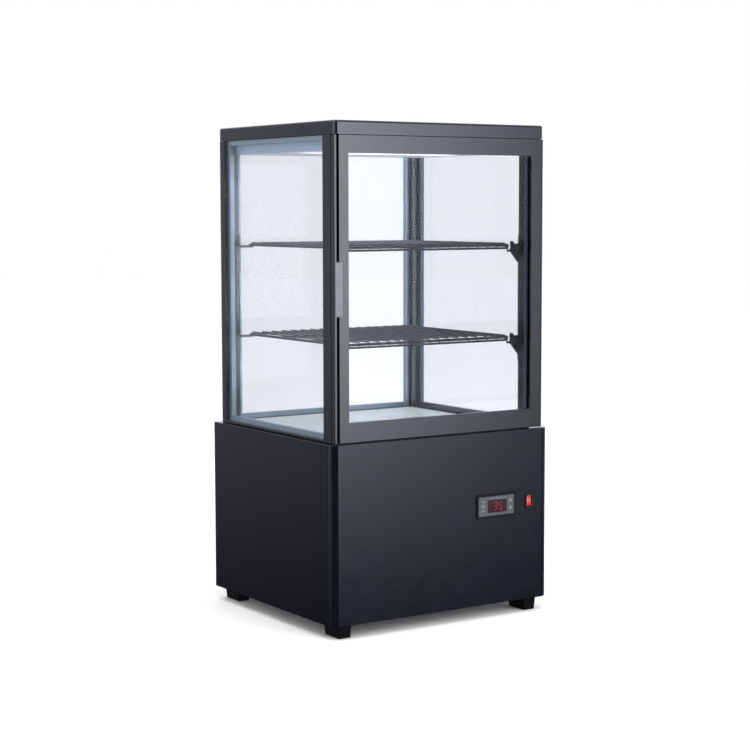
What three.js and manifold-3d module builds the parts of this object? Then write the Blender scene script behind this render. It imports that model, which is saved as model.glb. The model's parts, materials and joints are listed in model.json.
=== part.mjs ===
// Countertop refrigerated display with glass on four sides and a hinged front door.
// Millimetres, +Z up, +X to the viewer's right, +Y to the back.
// The origin is the middle of the object's footprint, on the surface it stands on.

import * as THREE from 'three';
import { mergeVertices } from 'three/addons/utils/BufferGeometryUtils.js';
import Module from 'manifold-3d';

const wasm = await Module();
wasm.setup();

// ---- Driving dimensions ----------------------------------------------------

const WIDTH = 428;
const DEPTH = 386;
const HEIGHT = 810;
const GAP = 0.3; // left between pieces that touch

// Machine base
const BASE_BOTTOM = 22.6;
const BASE_TOP = 309.2;
const BASE_FRONT = -191; // face of the front panel
const BASE_BACK = DEPTH / 2;
const BASE_CORNER = 15;
const FRONT_PANEL_SKIN = 2.5;
const FRONT_PANEL_SEAM = -155.5; // where the front panel's side returns end
const SHEET = 1.5;
const LEDGE = 26; // width of the flange that carries the cabinet
const REAR_PANEL_BACK = 191.5;
const REAR_RETURN = 14; // side panels' flange round the rear panel

// Glazed cabinet
const CABINET_HALF = 204.75;
const CABINET_FRONT = -185.4; // face of the door
const CABINET_BACK = 184.5;
const POST_FRONT = -173.3;
const POST_WIDTH = 26;
const FRONT_POST_BACK = -150.9;
const REAR_POST_FRONT = 163;
const GLASS_BOTTOM = 314.3;
const ROOF_BOTTOM = 788.3;
const CEILING = 765;
const FLOOR_TOP = 313.5;
const PANE = 4;
const SIDE_AIR_SPACE = 8;
const SPACER_BAR = 8;
const GLASS_INSET = 1; // glass behind the outer face of the posts

// Door
const DOOR_BOTTOM = 311.3;
const DOOR_TOP = 787.3;
const DOOR_BACK = -175.6;
const WINDOW_HALF = 178.6;
const WINDOW_BOTTOM = 342.5;
const WINDOW_TOP = 760;
const DOOR_LIP = 4; // plastic in front of the glass
const DOOR_AIR_SPACE = 6;
const DOOR_SPACER_BAR = 3;
const GROOVE_LEFT = -200.9;
const GROOVE_RIGHT = -195.9;
const GROOVE_FLOOR = -178.4;
const HANDLE = { left: -206, right: -189.8, bottom: 508.3, top: 592.5, front: -188.5 };
const HINGE = { x: 198, y: -180.5, pin: 2.5, bore: 2.8, round: 6.8 };

// Shelves
const SHELF_BOTTOMS = [453.8, 606.8];
const SHELF_EDGE = 11;
const SHELF_ROD = 5;
const SHELF_HALF = 163.5;
const SHELF_FRONT = -150;
const SHELF_BACK = 162;
const SHELF_WIRES = 17;

// Controls
const CONTROLLER = { x: 103.4, z: 187.45, width: 79.8, height: 39.5 };
const CONTROLLER_CUT = { width: 71, height: 29 };
const CONTROL_FACE = -193;
const SWITCH = { x: 172, z: 188.5, width: 15, height: 22, cutWidth: 13.4, cutHeight: 20.8 };
const ROCKER_TILT = 7;
const ROCKER_PIVOT_Y = -187.4;

// ---- Geometry helpers ------------------------------------------------------

function toSolid(geometry) {
  const plain = geometry.clone();
  plain.deleteAttribute('normal');
  plain.deleteAttribute('uv');
  const merged = mergeVertices(plain, 1e-4);
  return new wasm.Manifold(new wasm.Mesh({
    numProp: 3,
    vertProperties: new Float32Array(merged.attributes.position.array),
    triVerts: new Uint32Array(merged.index.array),
  }));
}

function fromSolid(solid) {
  const mesh = solid.getMesh();
  const geometry = new THREE.BufferGeometry();
  geometry.setAttribute('position', new THREE.BufferAttribute(mesh.vertProperties, 3));
  geometry.setIndex(new THREE.BufferAttribute(mesh.triVerts, 1));
  geometry.computeVertexNormals();
  return geometry;
}

const join = (...pieces) => fromSolid(pieces.map(toSolid).reduce((all, piece) => all.add(piece)));

const cut = (body, ...tools) => (
  fromSolid(tools.map(toSolid).reduce((left, tool) => left.subtract(tool), toSolid(body)))
);

const overlapOf = (a, b) => fromSolid(toSolid(a).intersect(toSolid(b)));

function box(x, y, z) {
  const geometry = new THREE.BoxGeometry(x[1] - x[0], y[1] - y[0], z[1] - z[0]);
  return geometry.translate((x[0] + x[1]) / 2, (y[0] + y[1]) / 2, (z[0] + z[1]) / 2);
}

// Rectangle with a radius for each corner: front left, front right, back right, back left.
function roundedShape(x, y, radii) {
  const [frontLeft, frontRight, backRight, backLeft] = radii;
  const shape = new THREE.Shape();
  shape.moveTo(x[0] + frontLeft, y[0]);
  shape.lineTo(x[1] - frontRight, y[0]);
  addCorner(shape, x[1] - frontRight, y[0] + frontRight, frontRight, -90);
  shape.lineTo(x[1], y[1] - backRight);
  addCorner(shape, x[1] - backRight, y[1] - backRight, backRight, 0);
  shape.lineTo(x[0] + backLeft, y[1]);
  addCorner(shape, x[0] + backLeft, y[1] - backLeft, backLeft, 90);
  shape.lineTo(x[0], y[0] + frontLeft);
  addCorner(shape, x[0] + frontLeft, y[0] + frontLeft, frontLeft, 180);
  return shape;
}

function addCorner(shape, x, y, radius, startDegrees) {
  if (radius > 0) {
    const start = THREE.MathUtils.degToRad(startDegrees);
    shape.absarc(x, y, radius, start, start + Math.PI / 2, false);
  }
}

function prism(shape, z, curveSegments = 6) {
  const geometry = new THREE.ExtrudeGeometry(shape, {
    depth: z[1] - z[0], bevelEnabled: false, curveSegments,
  });
  return geometry.translate(0, 0, z[0]);
}

function polygon(points) {
  return new THREE.Shape(points.map(([x, y]) => new THREE.Vector2(x, y)));
}

// A prism whose outline is given in X and Z and which spans the given Y range.
function prismAlongY(shape, y, curveSegments = 6) {
  const geometry = prism(shape, [0, y[1] - y[0]], curveSegments);
  return geometry.rotateX(Math.PI / 2).translate(0, y[1], 0);
}

// A prism whose outline is given in Y and Z and which spans the given X range.
function prismAlongX(shape, x, curveSegments = 6) {
  const geometry = prism(shape, [0, x[1] - x[0]], curveSegments);
  return geometry.rotateZ(Math.PI / 2).rotateY(Math.PI / 2).translate(x[0], 0, 0);
}

function cylinderZ(x, y, radius, z, sides = 24) {
  const geometry = new THREE.CylinderGeometry(radius, radius, z[1] - z[0], sides);
  return geometry.rotateX(Math.PI / 2).translate(x, y, (z[0] + z[1]) / 2);
}

function cylinderY(x, z, radius, y, sides = 24) {
  const geometry = new THREE.CylinderGeometry(radius, radius, y[1] - y[0], sides);
  return geometry.translate(x, (y[0] + y[1]) / 2, z);
}

function cylinderX(y, z, radius, x, sides = 8) {
  const geometry = new THREE.CylinderGeometry(radius, radius, x[1] - x[0], sides);
  return geometry.rotateZ(Math.PI / 2).translate((x[0] + x[1]) / 2, y, z);
}

function pipe(points, radius, steps) {
  const curve = new THREE.CatmullRomCurve3(points.map((point) => new THREE.Vector3(...point)));
  const section = new THREE.Shape();
  section.absarc(0, 0, radius, 0, 2 * Math.PI, false);
  return new THREE.ExtrudeGeometry(section, { extrudePath: curve, steps, curveSegments: 4 });
}

const group = new THREE.Group();

function add(name, geometry, material) {
  const mesh = new THREE.Mesh(geometry, material.clone());
  mesh.name = name;
  group.add(mesh);
  return mesh;
}

const finish = (color, roughness, metalness = 0) => (
  new THREE.MeshStandardMaterial({ color, roughness, metalness })
);

const blackPlastic = finish(0x24252a, 0.45);
const blackPaint = finish(0x1e1f24, 0.5);
const greyPlastic = finish(0x55585e, 0.5);
const whitePlastic = finish(0xeef0f2, 0.5);
const steel = finish(0x9a9c9e, 0.4, 0.9);
const aluminium = finish(0xc4c7ca, 0.35, 0.9);
const copper = finish(0xb8704a, 0.35, 0.9);
const rubber = finish(0x111214, 0.9);
const blackWire = finish(0x1b1d22, 0.4);
const foam = finish(0xd8dade, 0.8);
const glass = new THREE.MeshStandardMaterial({
  color: 0xdfeaf0, roughness: 0.05, metalness: 0, transparent: true, opacity: 0.3,
});
const redLens = finish(0xc01810, 0.2);
const darkLens = finish(0x2a0c10, 0.15);

const mirrored = (x) => [-x[1], -x[0]];

// ---- Machine base ----------------------------------------------------------

// Front panel: one moulding that wraps both front corners, with a ledge along its top.
function frontPanel() {
  const half = WIDTH / 2;
  const skin = FRONT_PANEL_SKIN;
  const inner = BASE_CORNER - skin;
  const outerShape = roundedShape(
    [-half, half],
    [BASE_FRONT, FRONT_PANEL_SEAM],
    [BASE_CORNER, BASE_CORNER, 0, 0],
  );
  const outer = prism(outerShape, [BASE_BOTTOM, BASE_TOP]);
  const hollowShape = roundedShape(
    [-half + skin, half - skin],
    [BASE_FRONT + skin, FRONT_PANEL_SEAM + 10],
    [inner, inner, 0, 0],
  );
  const hollow = prism(hollowShape, [BASE_BOTTOM - 1, BASE_TOP - skin]);
  const opening = box([-half + LEDGE, half - LEDGE], [POST_FRONT, 0], [BASE_TOP - 10, BASE_TOP + 1]);
  const controllerCut = box(
    [CONTROLLER.x - CONTROLLER_CUT.width / 2, CONTROLLER.x + CONTROLLER_CUT.width / 2],
    [BASE_FRONT - 5, BASE_FRONT + 8],
    [CONTROLLER.z - CONTROLLER_CUT.height / 2, CONTROLLER.z + CONTROLLER_CUT.height / 2],
  );
  const switchCut = box(
    [SWITCH.x - SWITCH.cutWidth / 2, SWITCH.x + SWITCH.cutWidth / 2],
    [BASE_FRONT - 5, BASE_FRONT + 8],
    [SWITCH.z - SWITCH.cutHeight / 2, SWITCH.z + SWITCH.cutHeight / 2],
  );
  return cut(outer, hollow, opening, controllerCut, switchCut);
}

// Side panel: plain sheet with a flange along its top that carries the cabinet.
function sidePanel(side) {
  const outer = WIDTH / 2;
  const place = (x) => (side < 0 ? mirrored(x) : x);
  const y = [FRONT_PANEL_SEAM + GAP, BASE_BACK];
  const wall = box(place([outer - SHEET, outer]), y, [BASE_BOTTOM, BASE_TOP]);
  const flange = box(place([outer - LEDGE, outer]), y, [BASE_TOP - SHEET, BASE_TOP]);
  const rearReturn = box(
    place([outer - REAR_RETURN, outer]),
    [BASE_BACK - SHEET, BASE_BACK],
    [BASE_BOTTOM, BASE_TOP],
  );
  return join(wall, flange, rearReturn);
}

const REAR_PANEL_HALF = WIDTH / 2 - SHEET - GAP;
const GLAND = { x: -187, z: 62, radius: 8 };
const LOUVRES = { columns: [-85, 85], half: 62, first: 90, pitch: 14, rows: 11, height: 4 };
const LEFT_LOUVRES_END = 215; // the left column stops below the cold box

// Rear panel: louvred sheet in front of the condenser, with a hole for the cord gland.
function rearPanel() {
  const y = [REAR_PANEL_BACK - SHEET - GAP, REAR_PANEL_BACK - GAP];
  const shoulder = BASE_TOP - SHEET - GAP;
  const wall = box([-REAR_PANEL_HALF, REAR_PANEL_HALF], y, [BASE_BOTTOM + 1, shoulder]);
  const flangeHalf = WIDTH / 2 - LEDGE - GAP;
  const neck = box([-flangeHalf, flangeHalf], y, [shoulder - 1, BASE_TOP]);
  const flange = box([-flangeHalf, flangeHalf], [y[1] - LEDGE, y[1]], [BASE_TOP - SHEET, BASE_TOP]);
  const slots = [];
  for (const x of LOUVRES.columns) {
    for (let row = 0; row < LOUVRES.rows; row += 1) {
      const z = LOUVRES.first + row * LOUVRES.pitch;
      if (x > 0 || z < LEFT_LOUVRES_END) {
        const across = [x - LOUVRES.half, x + LOUVRES.half];
        slots.push(box(across, [y[0] - 5, y[1] + 5], [z, z + LOUVRES.height]));
      }
    }
  }
  const glandHole = cylinderY(GLAND.x, GLAND.z, GLAND.radius + GAP, [y[0] - 5, y[1] + 5]);
  return cut(join(wall, neck, flange), ...slots, glandHole);
}

// Tray that closes the base from below and carries the machinery.
function baseTray() {
  const half = WIDTH / 2 - FRONT_PANEL_SKIN - GAP;
  const front = BASE_FRONT + FRONT_PANEL_SKIN + GAP;
  const back = REAR_PANEL_BACK - SHEET - 2 * GAP;
  const corner = BASE_CORNER - FRONT_PANEL_SKIN - GAP;
  const bottom = BASE_BOTTOM + 0.4;
  const outline = roundedShape([-half, half], [front, back], [corner, corner, 0, 0]);
  const outer = prism(outline, [bottom, bottom + 20]);
  const insideOutline = roundedShape(
    [-half + SHEET, half - SHEET],
    [front + SHEET, back - SHEET],
    [corner - SHEET, corner - SHEET, 0, 0],
  );
  const inside = prism(insideOutline, [bottom + SHEET, bottom + 30]);
  return cut(outer, inside);
}

const TRAY_TOP = BASE_BOTTOM + 0.4 + SHEET + GAP;
const FOOT = { x: 184, frontY: -157.5, rearY: 168.5, width: 24, depth: 46 };
const FOOT_TAPER = { x: 0.88, y: 0.92 };

// Foot: a block that narrows a little towards the floor.
function foot(x, y) {
  const top = BASE_BOTTOM + 0.1;
  const block = new THREE.BoxGeometry(FOOT.width, FOOT.depth, top);
  const position = block.attributes.position;
  for (let i = 0; i < position.count; i += 1) {
    if (position.getZ(i) < 0) {
      position.setX(i, position.getX(i) * FOOT_TAPER.x);
      position.setY(i, position.getY(i) * FOOT_TAPER.y);
    }
  }
  return block.translate(x, y, top / 2);
}

const COMPRESSOR = { x: 102, y: 58, radius: 60 };

// Hermetic compressor: domed shell with a welded seam and a terminal cover, on a plate with
// four grommets.
function compressor() {
  const profile = [
    [0, 42], [40, 42], [54, 50], [60, 64], [60, 98], [64, 98], [64, 102],
    [60, 102], [60, 130], [56, 152], [46, 167], [28, 176], [0, 179],
  ].map(([r, z]) => new THREE.Vector2(r, z));
  const shell = new THREE.LatheGeometry(profile, 28).rotateX(Math.PI / 2);
  shell.translate(COMPRESSOR.x, COMPRESSOR.y, 0);
  const { x, y } = COMPRESSOR;
  const plate = box([x - 76, x + 76], [y - 52, y + 52], [40, 43]);
  const grommets = [];
  for (const dx of [-66, 66]) {
    for (const dy of [-42, 42]) {
      grommets.push(cylinderZ(x + dx, y + dy, 9, [TRAY_TOP, 46], 12));
    }
  }
  const terminalCover = box([x + 50, x + 84], [y - 22, y + 22], [66, 94]);
  return join(shell, terminalCover, plate, ...grommets);
}

const CONDENSER = { x: [-165, -5], y: [152, 187], z: [TRAY_TOP + 1, 205] };

// Finned coil: thin plates on both sides of a row of tubes, in an outline of one comb.
function finnedCoil(length, depth, height, fins) {
  const pitch = length / fins;
  const thickness = 1.6;
  const core = depth / 2 - 3;
  const near = [];
  const far = [];
  for (let i = 0; i < fins; i += 1) {
    const start = i * pitch;
    const end = start + thickness;
    near.push([start, 0], [end, 0], [end, core]);
    far.push([start, depth], [end, depth], [end, depth - core]);
    if (i < fins - 1) {
      near.push([start + pitch, core]);
      far.push([start + pitch, depth - core]);
    }
  }
  return prism(polygon([...near, ...far.reverse()]), [0, height]);
}

function condenserCoil() {
  const { x, y, z } = CONDENSER;
  return finnedCoil(x[1] - x[0], y[1] - y[0], z[1] - z[0], 22).translate(x[0], y[0], z[0]);
}

const FAN = { size: 119, depth: 25, throat: 57.5, motor: 18, tip: 55, hub: 19.5, blades: 7 };

// Compact axial fan housing, mouth up, from z = 0 to its depth.
function fanHousing() {
  const half = FAN.size / 2;
  const body = prism(roundedShape([-half, half], [-half, half], [5, 5, 5, 5]), [0, FAN.depth], 3);
  const throat = cylinderZ(0, 0, FAN.throat, [-1, FAN.depth + 1], 32);
  const motor = cylinderZ(0, 0, FAN.motor, [0, 4], 20);
  const shaft = cylinderZ(0, 0, 2, [2, 13], 10);
  const arms = [45, 135, 225, 315].map((angle) => {
    const arm = box([FAN.motor - 2, FAN.throat + 2], [-2.5, 2.5], [0, 3.5]);
    return arm.rotateZ(THREE.MathUtils.degToRad(angle));
  });
  return join(cut(body, throat), motor, shaft, ...arms);
}

// The fan's hub and blades, in the same place as its housing.
function fanBlades() {
  const hub = cylinderZ(0, 0, FAN.hub, [4.6, FAN.depth - 1], 20);
  const bore = cylinderZ(0, 0, 2.35, [4, 14], 10);
  const blades = [];
  for (let i = 0; i < FAN.blades; i += 1) {
    const blade = box([FAN.hub - 2, FAN.tip], [-12, 12], [-0.9, 0.9]);
    blade.rotateX(THREE.MathUtils.degToRad(38)).translate(0, 0, FAN.depth / 2 + 1.8);
    blades.push(blade.rotateZ((i * 2 * Math.PI) / FAN.blades));
  }
  const round = cylinderZ(0, 0, FAN.tip, [4.6, FAN.depth], 32);
  return overlapOf(cut(join(hub, ...blades), bore), round);
}

const CONDENSER_FAN = { x: -85, y: CONDENSER.y[0] - GAP, z: 120 };
const EVAPORATOR_FAN = { x: 85, y: 20, z: FLOOR_TOP - 2 - GAP - FAN.depth };

const placeCondenserFan = (geometry) => (
  geometry.rotateX(-Math.PI / 2).translate(CONDENSER_FAN.x, CONDENSER_FAN.y - FAN.depth, CONDENSER_FAN.z)
);
const placeEvaporatorFan = (geometry) => (
  geometry.translate(EVAPORATOR_FAN.x, EVAPORATOR_FAN.y, EVAPORATOR_FAN.z)
);

const COLD_BOX = { x: [-170, 170], y: [-130, 165], bottom: 222, wall: 18, top: BASE_TOP - SHEET - GAP };
const DRAIN = { x: -90, y: -60 };
const SUCTION_HOLE = { x: 2, y: 84 };

// Insulated box under the display floor that holds the evaporator, with a drain spout.
function evaporatorHousing() {
  const { x, y, bottom, wall, top } = COLD_BOX;
  const body = box(x, y, [bottom, top]);
  const lip = box([-200, 200], [FRONT_PANEL_SEAM + 1, 178], [top - 3, top]);
  const spout = cylinderZ(DRAIN.x, DRAIN.y, 8, [58, bottom + 4], 16);
  const hollow = box([x[0] + wall, x[1] - wall], [y[0] + wall, y[1] - wall], [bottom + wall, top + 5]);
  const drain = cylinderZ(DRAIN.x, DRAIN.y, 5, [50, bottom + wall + 5], 16);
  const pipeHole = cylinderZ(SUCTION_HOLE.x, SUCTION_HOLE.y, 7, [bottom - 5, bottom + wall + 5], 12);
  return cut(join(body, lip, spout), hollow, drain, pipeHole);
}

const EVAPORATOR = { x: [-145, -12], y: [14, 140], z: [244, 300] };

function evaporatorCoil() {
  const { x, y, z } = EVAPORATOR;
  return finnedCoil(x[1] - x[0], y[1] - y[0], z[1] - z[0], 16).translate(x[0], y[0], z[0]);
}

// Tray that catches the water from the drain and lets it evaporate.
function waterTray() {
  const x = [DRAIN.x - 85, DRAIN.x + 85];
  const y = [DRAIN.y - 55, DRAIN.y + 55];
  const outer = prism(roundedShape(x, y, [6, 6, 6, 6]), [TRAY_TOP, TRAY_TOP + 26], 3);
  const inner = prism(
    roundedShape([x[0] + 2, x[1] - 2], [y[0] + 2, y[1] - 2], [4, 4, 4, 4]),
    [TRAY_TOP + 2, TRAY_TOP + 30],
    3,
  );
  return cut(outer, inner);
}

const FLOOR_SLOT = { width: 6, pitch: 14 };

// Panel that covers the cold box, with slots over the coil and over the fan.
function floorPanel() {
  const plate = box([-176.2, 176.2], [-148.6, 161], [FLOOR_TOP - 2, FLOOR_TOP]);
  const through = [FLOOR_TOP - 5, FLOOR_TOP + 5];
  const slotsOver = (x, firstY, count) => Array.from({ length: count }, (_, i) => {
    const y = firstY + i * FLOOR_SLOT.pitch;
    return box(x, [y, y + FLOOR_SLOT.width], through);
  });
  const fanX = [EVAPORATOR_FAN.x - 46, EVAPORATOR_FAN.x + 46];
  const coilSlots = slotsOver([EVAPORATOR.x[0] + 5, EVAPORATOR.x[1] - 8], EVAPORATOR.y[0] + 10, 8);
  const fanSlots = slotsOver(fanX, EVAPORATOR_FAN.y - 45, 7);
  return cut(plate, ...coilSlots, ...fanSlots);
}

// Cable gland in the rear panel: a flanged bush.
function cordGland() {
  const flange = cylinderY(GLAND.x, GLAND.z, 12, [REAR_PANEL_BACK, BASE_BACK], 20);
  const bush = cylinderY(GLAND.x, GLAND.z, GLAND.radius, [REAR_PANEL_BACK - 10, REAR_PANEL_BACK + 1], 20);
  const hole = cylinderY(GLAND.x, GLAND.z, 4, [REAR_PANEL_BACK - 15, BASE_BACK + 5], 16);
  return cut(join(flange, bush), hole);
}

function dischargePipe() {
  const { x, y, radius } = COMPRESSOR;
  return pipe([
    [x - radius - 0.8, y, 118], [x - radius - 14, y, 119], [x - radius - 24, y + 14, 140],
    [x - radius - 26, y + 40, 190], [0, 140, 213], [-18, 164, 218], [-24, 170, 213],
    [-24, 170, CONDENSER.z[1] + 1],
  ], 3, 28);
}

function suctionPipe() {
  const { x, y, radius } = COMPRESSOR;
  return pipe([
    [x, y - radius - 0.8, 122], [x - 2, y - radius - 16, 124], [x - 14, y - radius - 24, 150],
    [x - 52, y - radius - 4, 196], [22, 56, 200], [SUCTION_HOLE.x, SUCTION_HOLE.y, 214],
    [SUCTION_HOLE.x, SUCTION_HOLE.y, 244], [SUCTION_HOLE.x - 2, SUCTION_HOLE.y, 262],
    [EVAPORATOR.x[1] - 4, SUCTION_HOLE.y, 272],
  ], 4, 36);
}

function buildBase() {
  add('base_tray', baseTray(), steel);
  add('front_panel', frontPanel(), blackPlastic);
  add('left_side_panel', sidePanel(-1), blackPaint);
  add('right_side_panel', sidePanel(1), blackPaint);
  add('rear_panel', rearPanel(), blackPaint);
  for (const [end, y] of [['front', FOOT.frontY], ['rear', FOOT.rearY]]) {
    for (const [side, x] of [['left', -FOOT.x], ['right', FOOT.x]]) {
      add(`${end}_${side}_foot`, foot(x, y), rubber);
    }
  }
  add('cord_gland', cordGland(), rubber);
}

function buildMachinery() {
  add('compressor', compressor(), blackPaint);
  add('condenser_coil', condenserCoil(), aluminium);
  add('condenser_fan_housing', placeCondenserFan(fanHousing()), blackPlastic);
  add('condenser_fan_blade', placeCondenserFan(fanBlades()), blackPlastic);
  add('evaporator_housing', evaporatorHousing(), foam);
  add('evaporator_coil', evaporatorCoil(), aluminium);
  add('evaporator_fan_housing', placeEvaporatorFan(fanHousing()), blackPlastic);
  add('evaporator_fan_blade', placeEvaporatorFan(fanBlades()), blackPlastic);
  add('discharge_pipe', dischargePipe(), copper);
  add('suction_pipe', suctionPipe(), copper);
  add('water_tray', waterTray(), greyPlastic);
}

// ---- Controls --------------------------------------------------------------

const DISPLAY = { x: [86, 124.4], z: [176.3, 196.4] };
const BUTTONS = {
  set_button: { x: 76.5, z: 187.5 },
  up_button: { x: 132.5, z: 193.5 },
  down_button: { x: 132.5, z: 181.5 },
};
const BUTTON = { width: 7, height: 7.4, front: -192.8, back: -190.4, floor: -189.2 };

// Controller: a bezel with a body that passes through the front panel.
function controllerHousing() {
  const { x, z, width, height } = CONTROLLER;
  const bezelShape = roundedShape(
    [x - width / 2, x + width / 2],
    [z - height / 2, z + height / 2],
    [3, 3, 3, 3],
  );
  const bezel = prismAlongY(bezelShape, [CONTROL_FACE, BASE_FRONT - GAP], 3);
  const bodyHalf = CONTROLLER_CUT.width / 2 - GAP;
  const bodyRise = CONTROLLER_CUT.height / 2 - GAP;
  const body = box(
    [x - bodyHalf, x + bodyHalf],
    [BASE_FRONT - 1, BASE_FRONT + 58],
    [z - bodyRise, z + bodyRise],
  );
  const face = box([67.4, 139.3], [CONTROL_FACE - 1, CONTROL_FACE + 0.5], [171, 203]);
  const window = box(
    [DISPLAY.x[0] - GAP, DISPLAY.x[1] + GAP],
    [CONTROL_FACE - 1, CONTROL_FACE + 1.9],
    [DISPLAY.z[0] - GAP, DISPLAY.z[1] + GAP],
  );
  const pockets = Object.values(BUTTONS).map((button) => box(
    [button.x - BUTTON.width / 2 - GAP, button.x + BUTTON.width / 2 + GAP],
    [CONTROL_FACE - 1, BUTTON.floor],
    [button.z - BUTTON.height / 2 - GAP, button.z + BUTTON.height / 2 + GAP],
  ));
  return cut(join(bezel, body), face, window, ...pockets);
}

function button({ x, z }) {
  const shape = roundedShape(
    [x - BUTTON.width / 2, x + BUTTON.width / 2],
    [z - BUTTON.height / 2, z + BUTTON.height / 2],
    [1.5, 1.5, 1.5, 1.5],
  );
  return prismAlongY(shape, [BUTTON.front, BUTTON.back], 3);
}

// Switch: bezel and hollow body.
function switchBody() {
  const { x, z, width, height, cutWidth, cutHeight } = SWITCH;
  const bezelShape = roundedShape(
    [x - width / 2, x + width / 2],
    [z - height / 2, z + height / 2],
    [1.5, 1.5, 1.5, 1.5],
  );
  const bezel = prismAlongY(bezelShape, [CONTROL_FACE, BASE_FRONT - GAP], 3);
  const bodyHalf = cutWidth / 2 - GAP;
  const bodyRise = cutHeight / 2 - GAP;
  const body = box(
    [x - bodyHalf, x + bodyHalf],
    [BASE_FRONT - 1, BASE_FRONT + 20],
    [z - bodyRise, z + bodyRise],
  );
  const pocket = box([x - 5.7, x + 5.7], [CONTROL_FACE - 1, BASE_FRONT + 10], [z - 9.2, z + 9.2]);
  return cut(join(bezel, body), pocket);
}

// Rocker: a slightly hollowed key, stored with its upper half pressed in.
function switchRocker() {
  const shape = polygon([
    [-4.4, -8.4], [-3.7, -4.2], [-3.3, 0], [-3.7, 4.2], [-4.4, 8.4],
    [-1.5, 8.4], [3.5, 3], [3.5, -3], [-1.5, -8.4],
  ]);
  const key = prismAlongX(shape, [-5.4, 5.4]);
  key.rotateX(THREE.MathUtils.degToRad(-ROCKER_TILT));
  return key.translate(SWITCH.x, ROCKER_PIVOT_Y, SWITCH.z);
}

function buildControls() {
  add('controller_housing', controllerHousing(), blackPlastic);
  add('controller_display', box(DISPLAY.x, [CONTROL_FACE + 0.2, CONTROL_FACE + 1.6], DISPLAY.z), darkLens);
  for (const [name, place] of Object.entries(BUTTONS)) {
    add(name, button(place), greyPlastic);
  }
  add('switch_body', switchBody(), blackPlastic);
  add('switch_rocker', switchRocker(), redLens);
}

// ---- Glazed cabinet --------------------------------------------------------

const POST_INNER = CABINET_HALF - POST_WIDTH;

// Frame on top of the base: a stepped ring for the floor panel, with a sill behind the door.
function cabinetBaseFrame() {
  const z = [BASE_TOP + GAP, GLASS_BOTTOM - GAP];
  const outline = roundedShape(
    [-CABINET_HALF, CABINET_HALF],
    [POST_FRONT + GAP, CABINET_BACK],
    [3, 3, 6, 6],
  );
  const ring = prism(outline, z, 3);
  const sillHalf = POST_INNER - GAP;
  const sill = box([-sillHalf, sillHalf], [POST_FRONT + GAP, POST_FRONT + 8], [z[1] - 1, 332]);
  const ledge = box([-168, 168], [-140, 152], [z[0] - 5, z[1] + 20]);
  const recess = box([-176.5, 176.5], [-148.9, 161.3], [FLOOR_TOP - 2 - GAP, z[1] + 20]);
  return cut(join(ring, sill), ledge, recess);
}

// Corner post: a hollow extrusion with a rounded outer corner.
function post(xSide, isFront) {
  const x = xSide < 0 ? [-CABINET_HALF, -POST_INNER] : [POST_INNER, CABINET_HALF];
  const y = isFront ? [POST_FRONT, FRONT_POST_BACK] : [REAR_POST_FRONT, CABINET_BACK];
  const corner = isFront ? 2 : 6;
  const radii = [0, 0, 0, 0];
  radii[cornerIndex(xSide, isFront)] = corner;
  const outer = prism(roundedShape(x, y, radii), [GLASS_BOTTOM, ROOF_BOTTOM - GAP], 4);
  const inner = box([x[0] + 2, x[1] - 2], [y[0] + 2, y[1] - 2], [GLASS_BOTTOM - 1, ROOF_BOTTOM + 1]);
  return cut(outer, inner);
}

function cornerIndex(xSide, isFront) {
  if (isFront) {
    return xSide < 0 ? 0 : 1;
  }
  return xSide < 0 ? 3 : 2;
}

const GLASS_Z = [GLASS_BOTTOM, ROOF_BOTTOM - GAP];

// Flat ring between two panes: its outline across and up, and its depth range.
function spacerRing(across, up, bar) {
  const ring = polygon([
    [across[0], up[0]], [across[1], up[0]],
    [across[1], up[1]], [across[0], up[1]],
  ]);
  ring.holes.push(polygon([
    [across[0] + bar, up[0] + bar], [across[0] + bar, up[1] - bar],
    [across[1] - bar, up[1] - bar], [across[1] - bar, up[0] + bar],
  ]));
  return ring;
}

// Insulated unit of the left or right side: outer pane, spacer and inner pane.
function buildSideGlass(name, side) {
  const y = [FRONT_POST_BACK + GAP, REAR_POST_FRONT - GAP];
  const place = (x) => (side < 0 ? mirrored(x) : x);
  const outer = CABINET_HALF - GLASS_INSET;
  const spacerOuter = outer - PANE - GAP;
  const spacerInner = spacerOuter - SIDE_AIR_SPACE;
  const inner = spacerInner - GAP;
  add(`${name}_outer_pane`, box(place([outer - PANE, outer]), y, GLASS_Z), glass);
  const spacer = prismAlongX(spacerRing(y, GLASS_Z, SPACER_BAR), place([spacerInner, spacerOuter]));
  add(`${name}_glass_spacer`, spacer, aluminium);
  add(`${name}_inner_pane`, box(place([inner - PANE, inner]), y, GLASS_Z), glass);
}

function buildRearGlass() {
  const half = POST_INNER - GAP;
  const x = [-half, half];
  const outer = CABINET_BACK - GLASS_INSET;
  const spacerOuter = outer - PANE - GAP;
  const spacerInner = spacerOuter - SIDE_AIR_SPACE;
  const inner = spacerInner - GAP;
  add('rear_outer_pane', box(x, [outer - PANE, outer], GLASS_Z), glass);
  const spacer = prismAlongY(spacerRing(x, GLASS_Z, SPACER_BAR), [spacerInner, spacerOuter]);
  add('rear_glass_spacer', spacer, aluminium);
  add('rear_inner_pane', box(x, [inner - PANE, inner], GLASS_Z), glass);
}

const LAMP = { x: 150, y: [-22, 18] };

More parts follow.
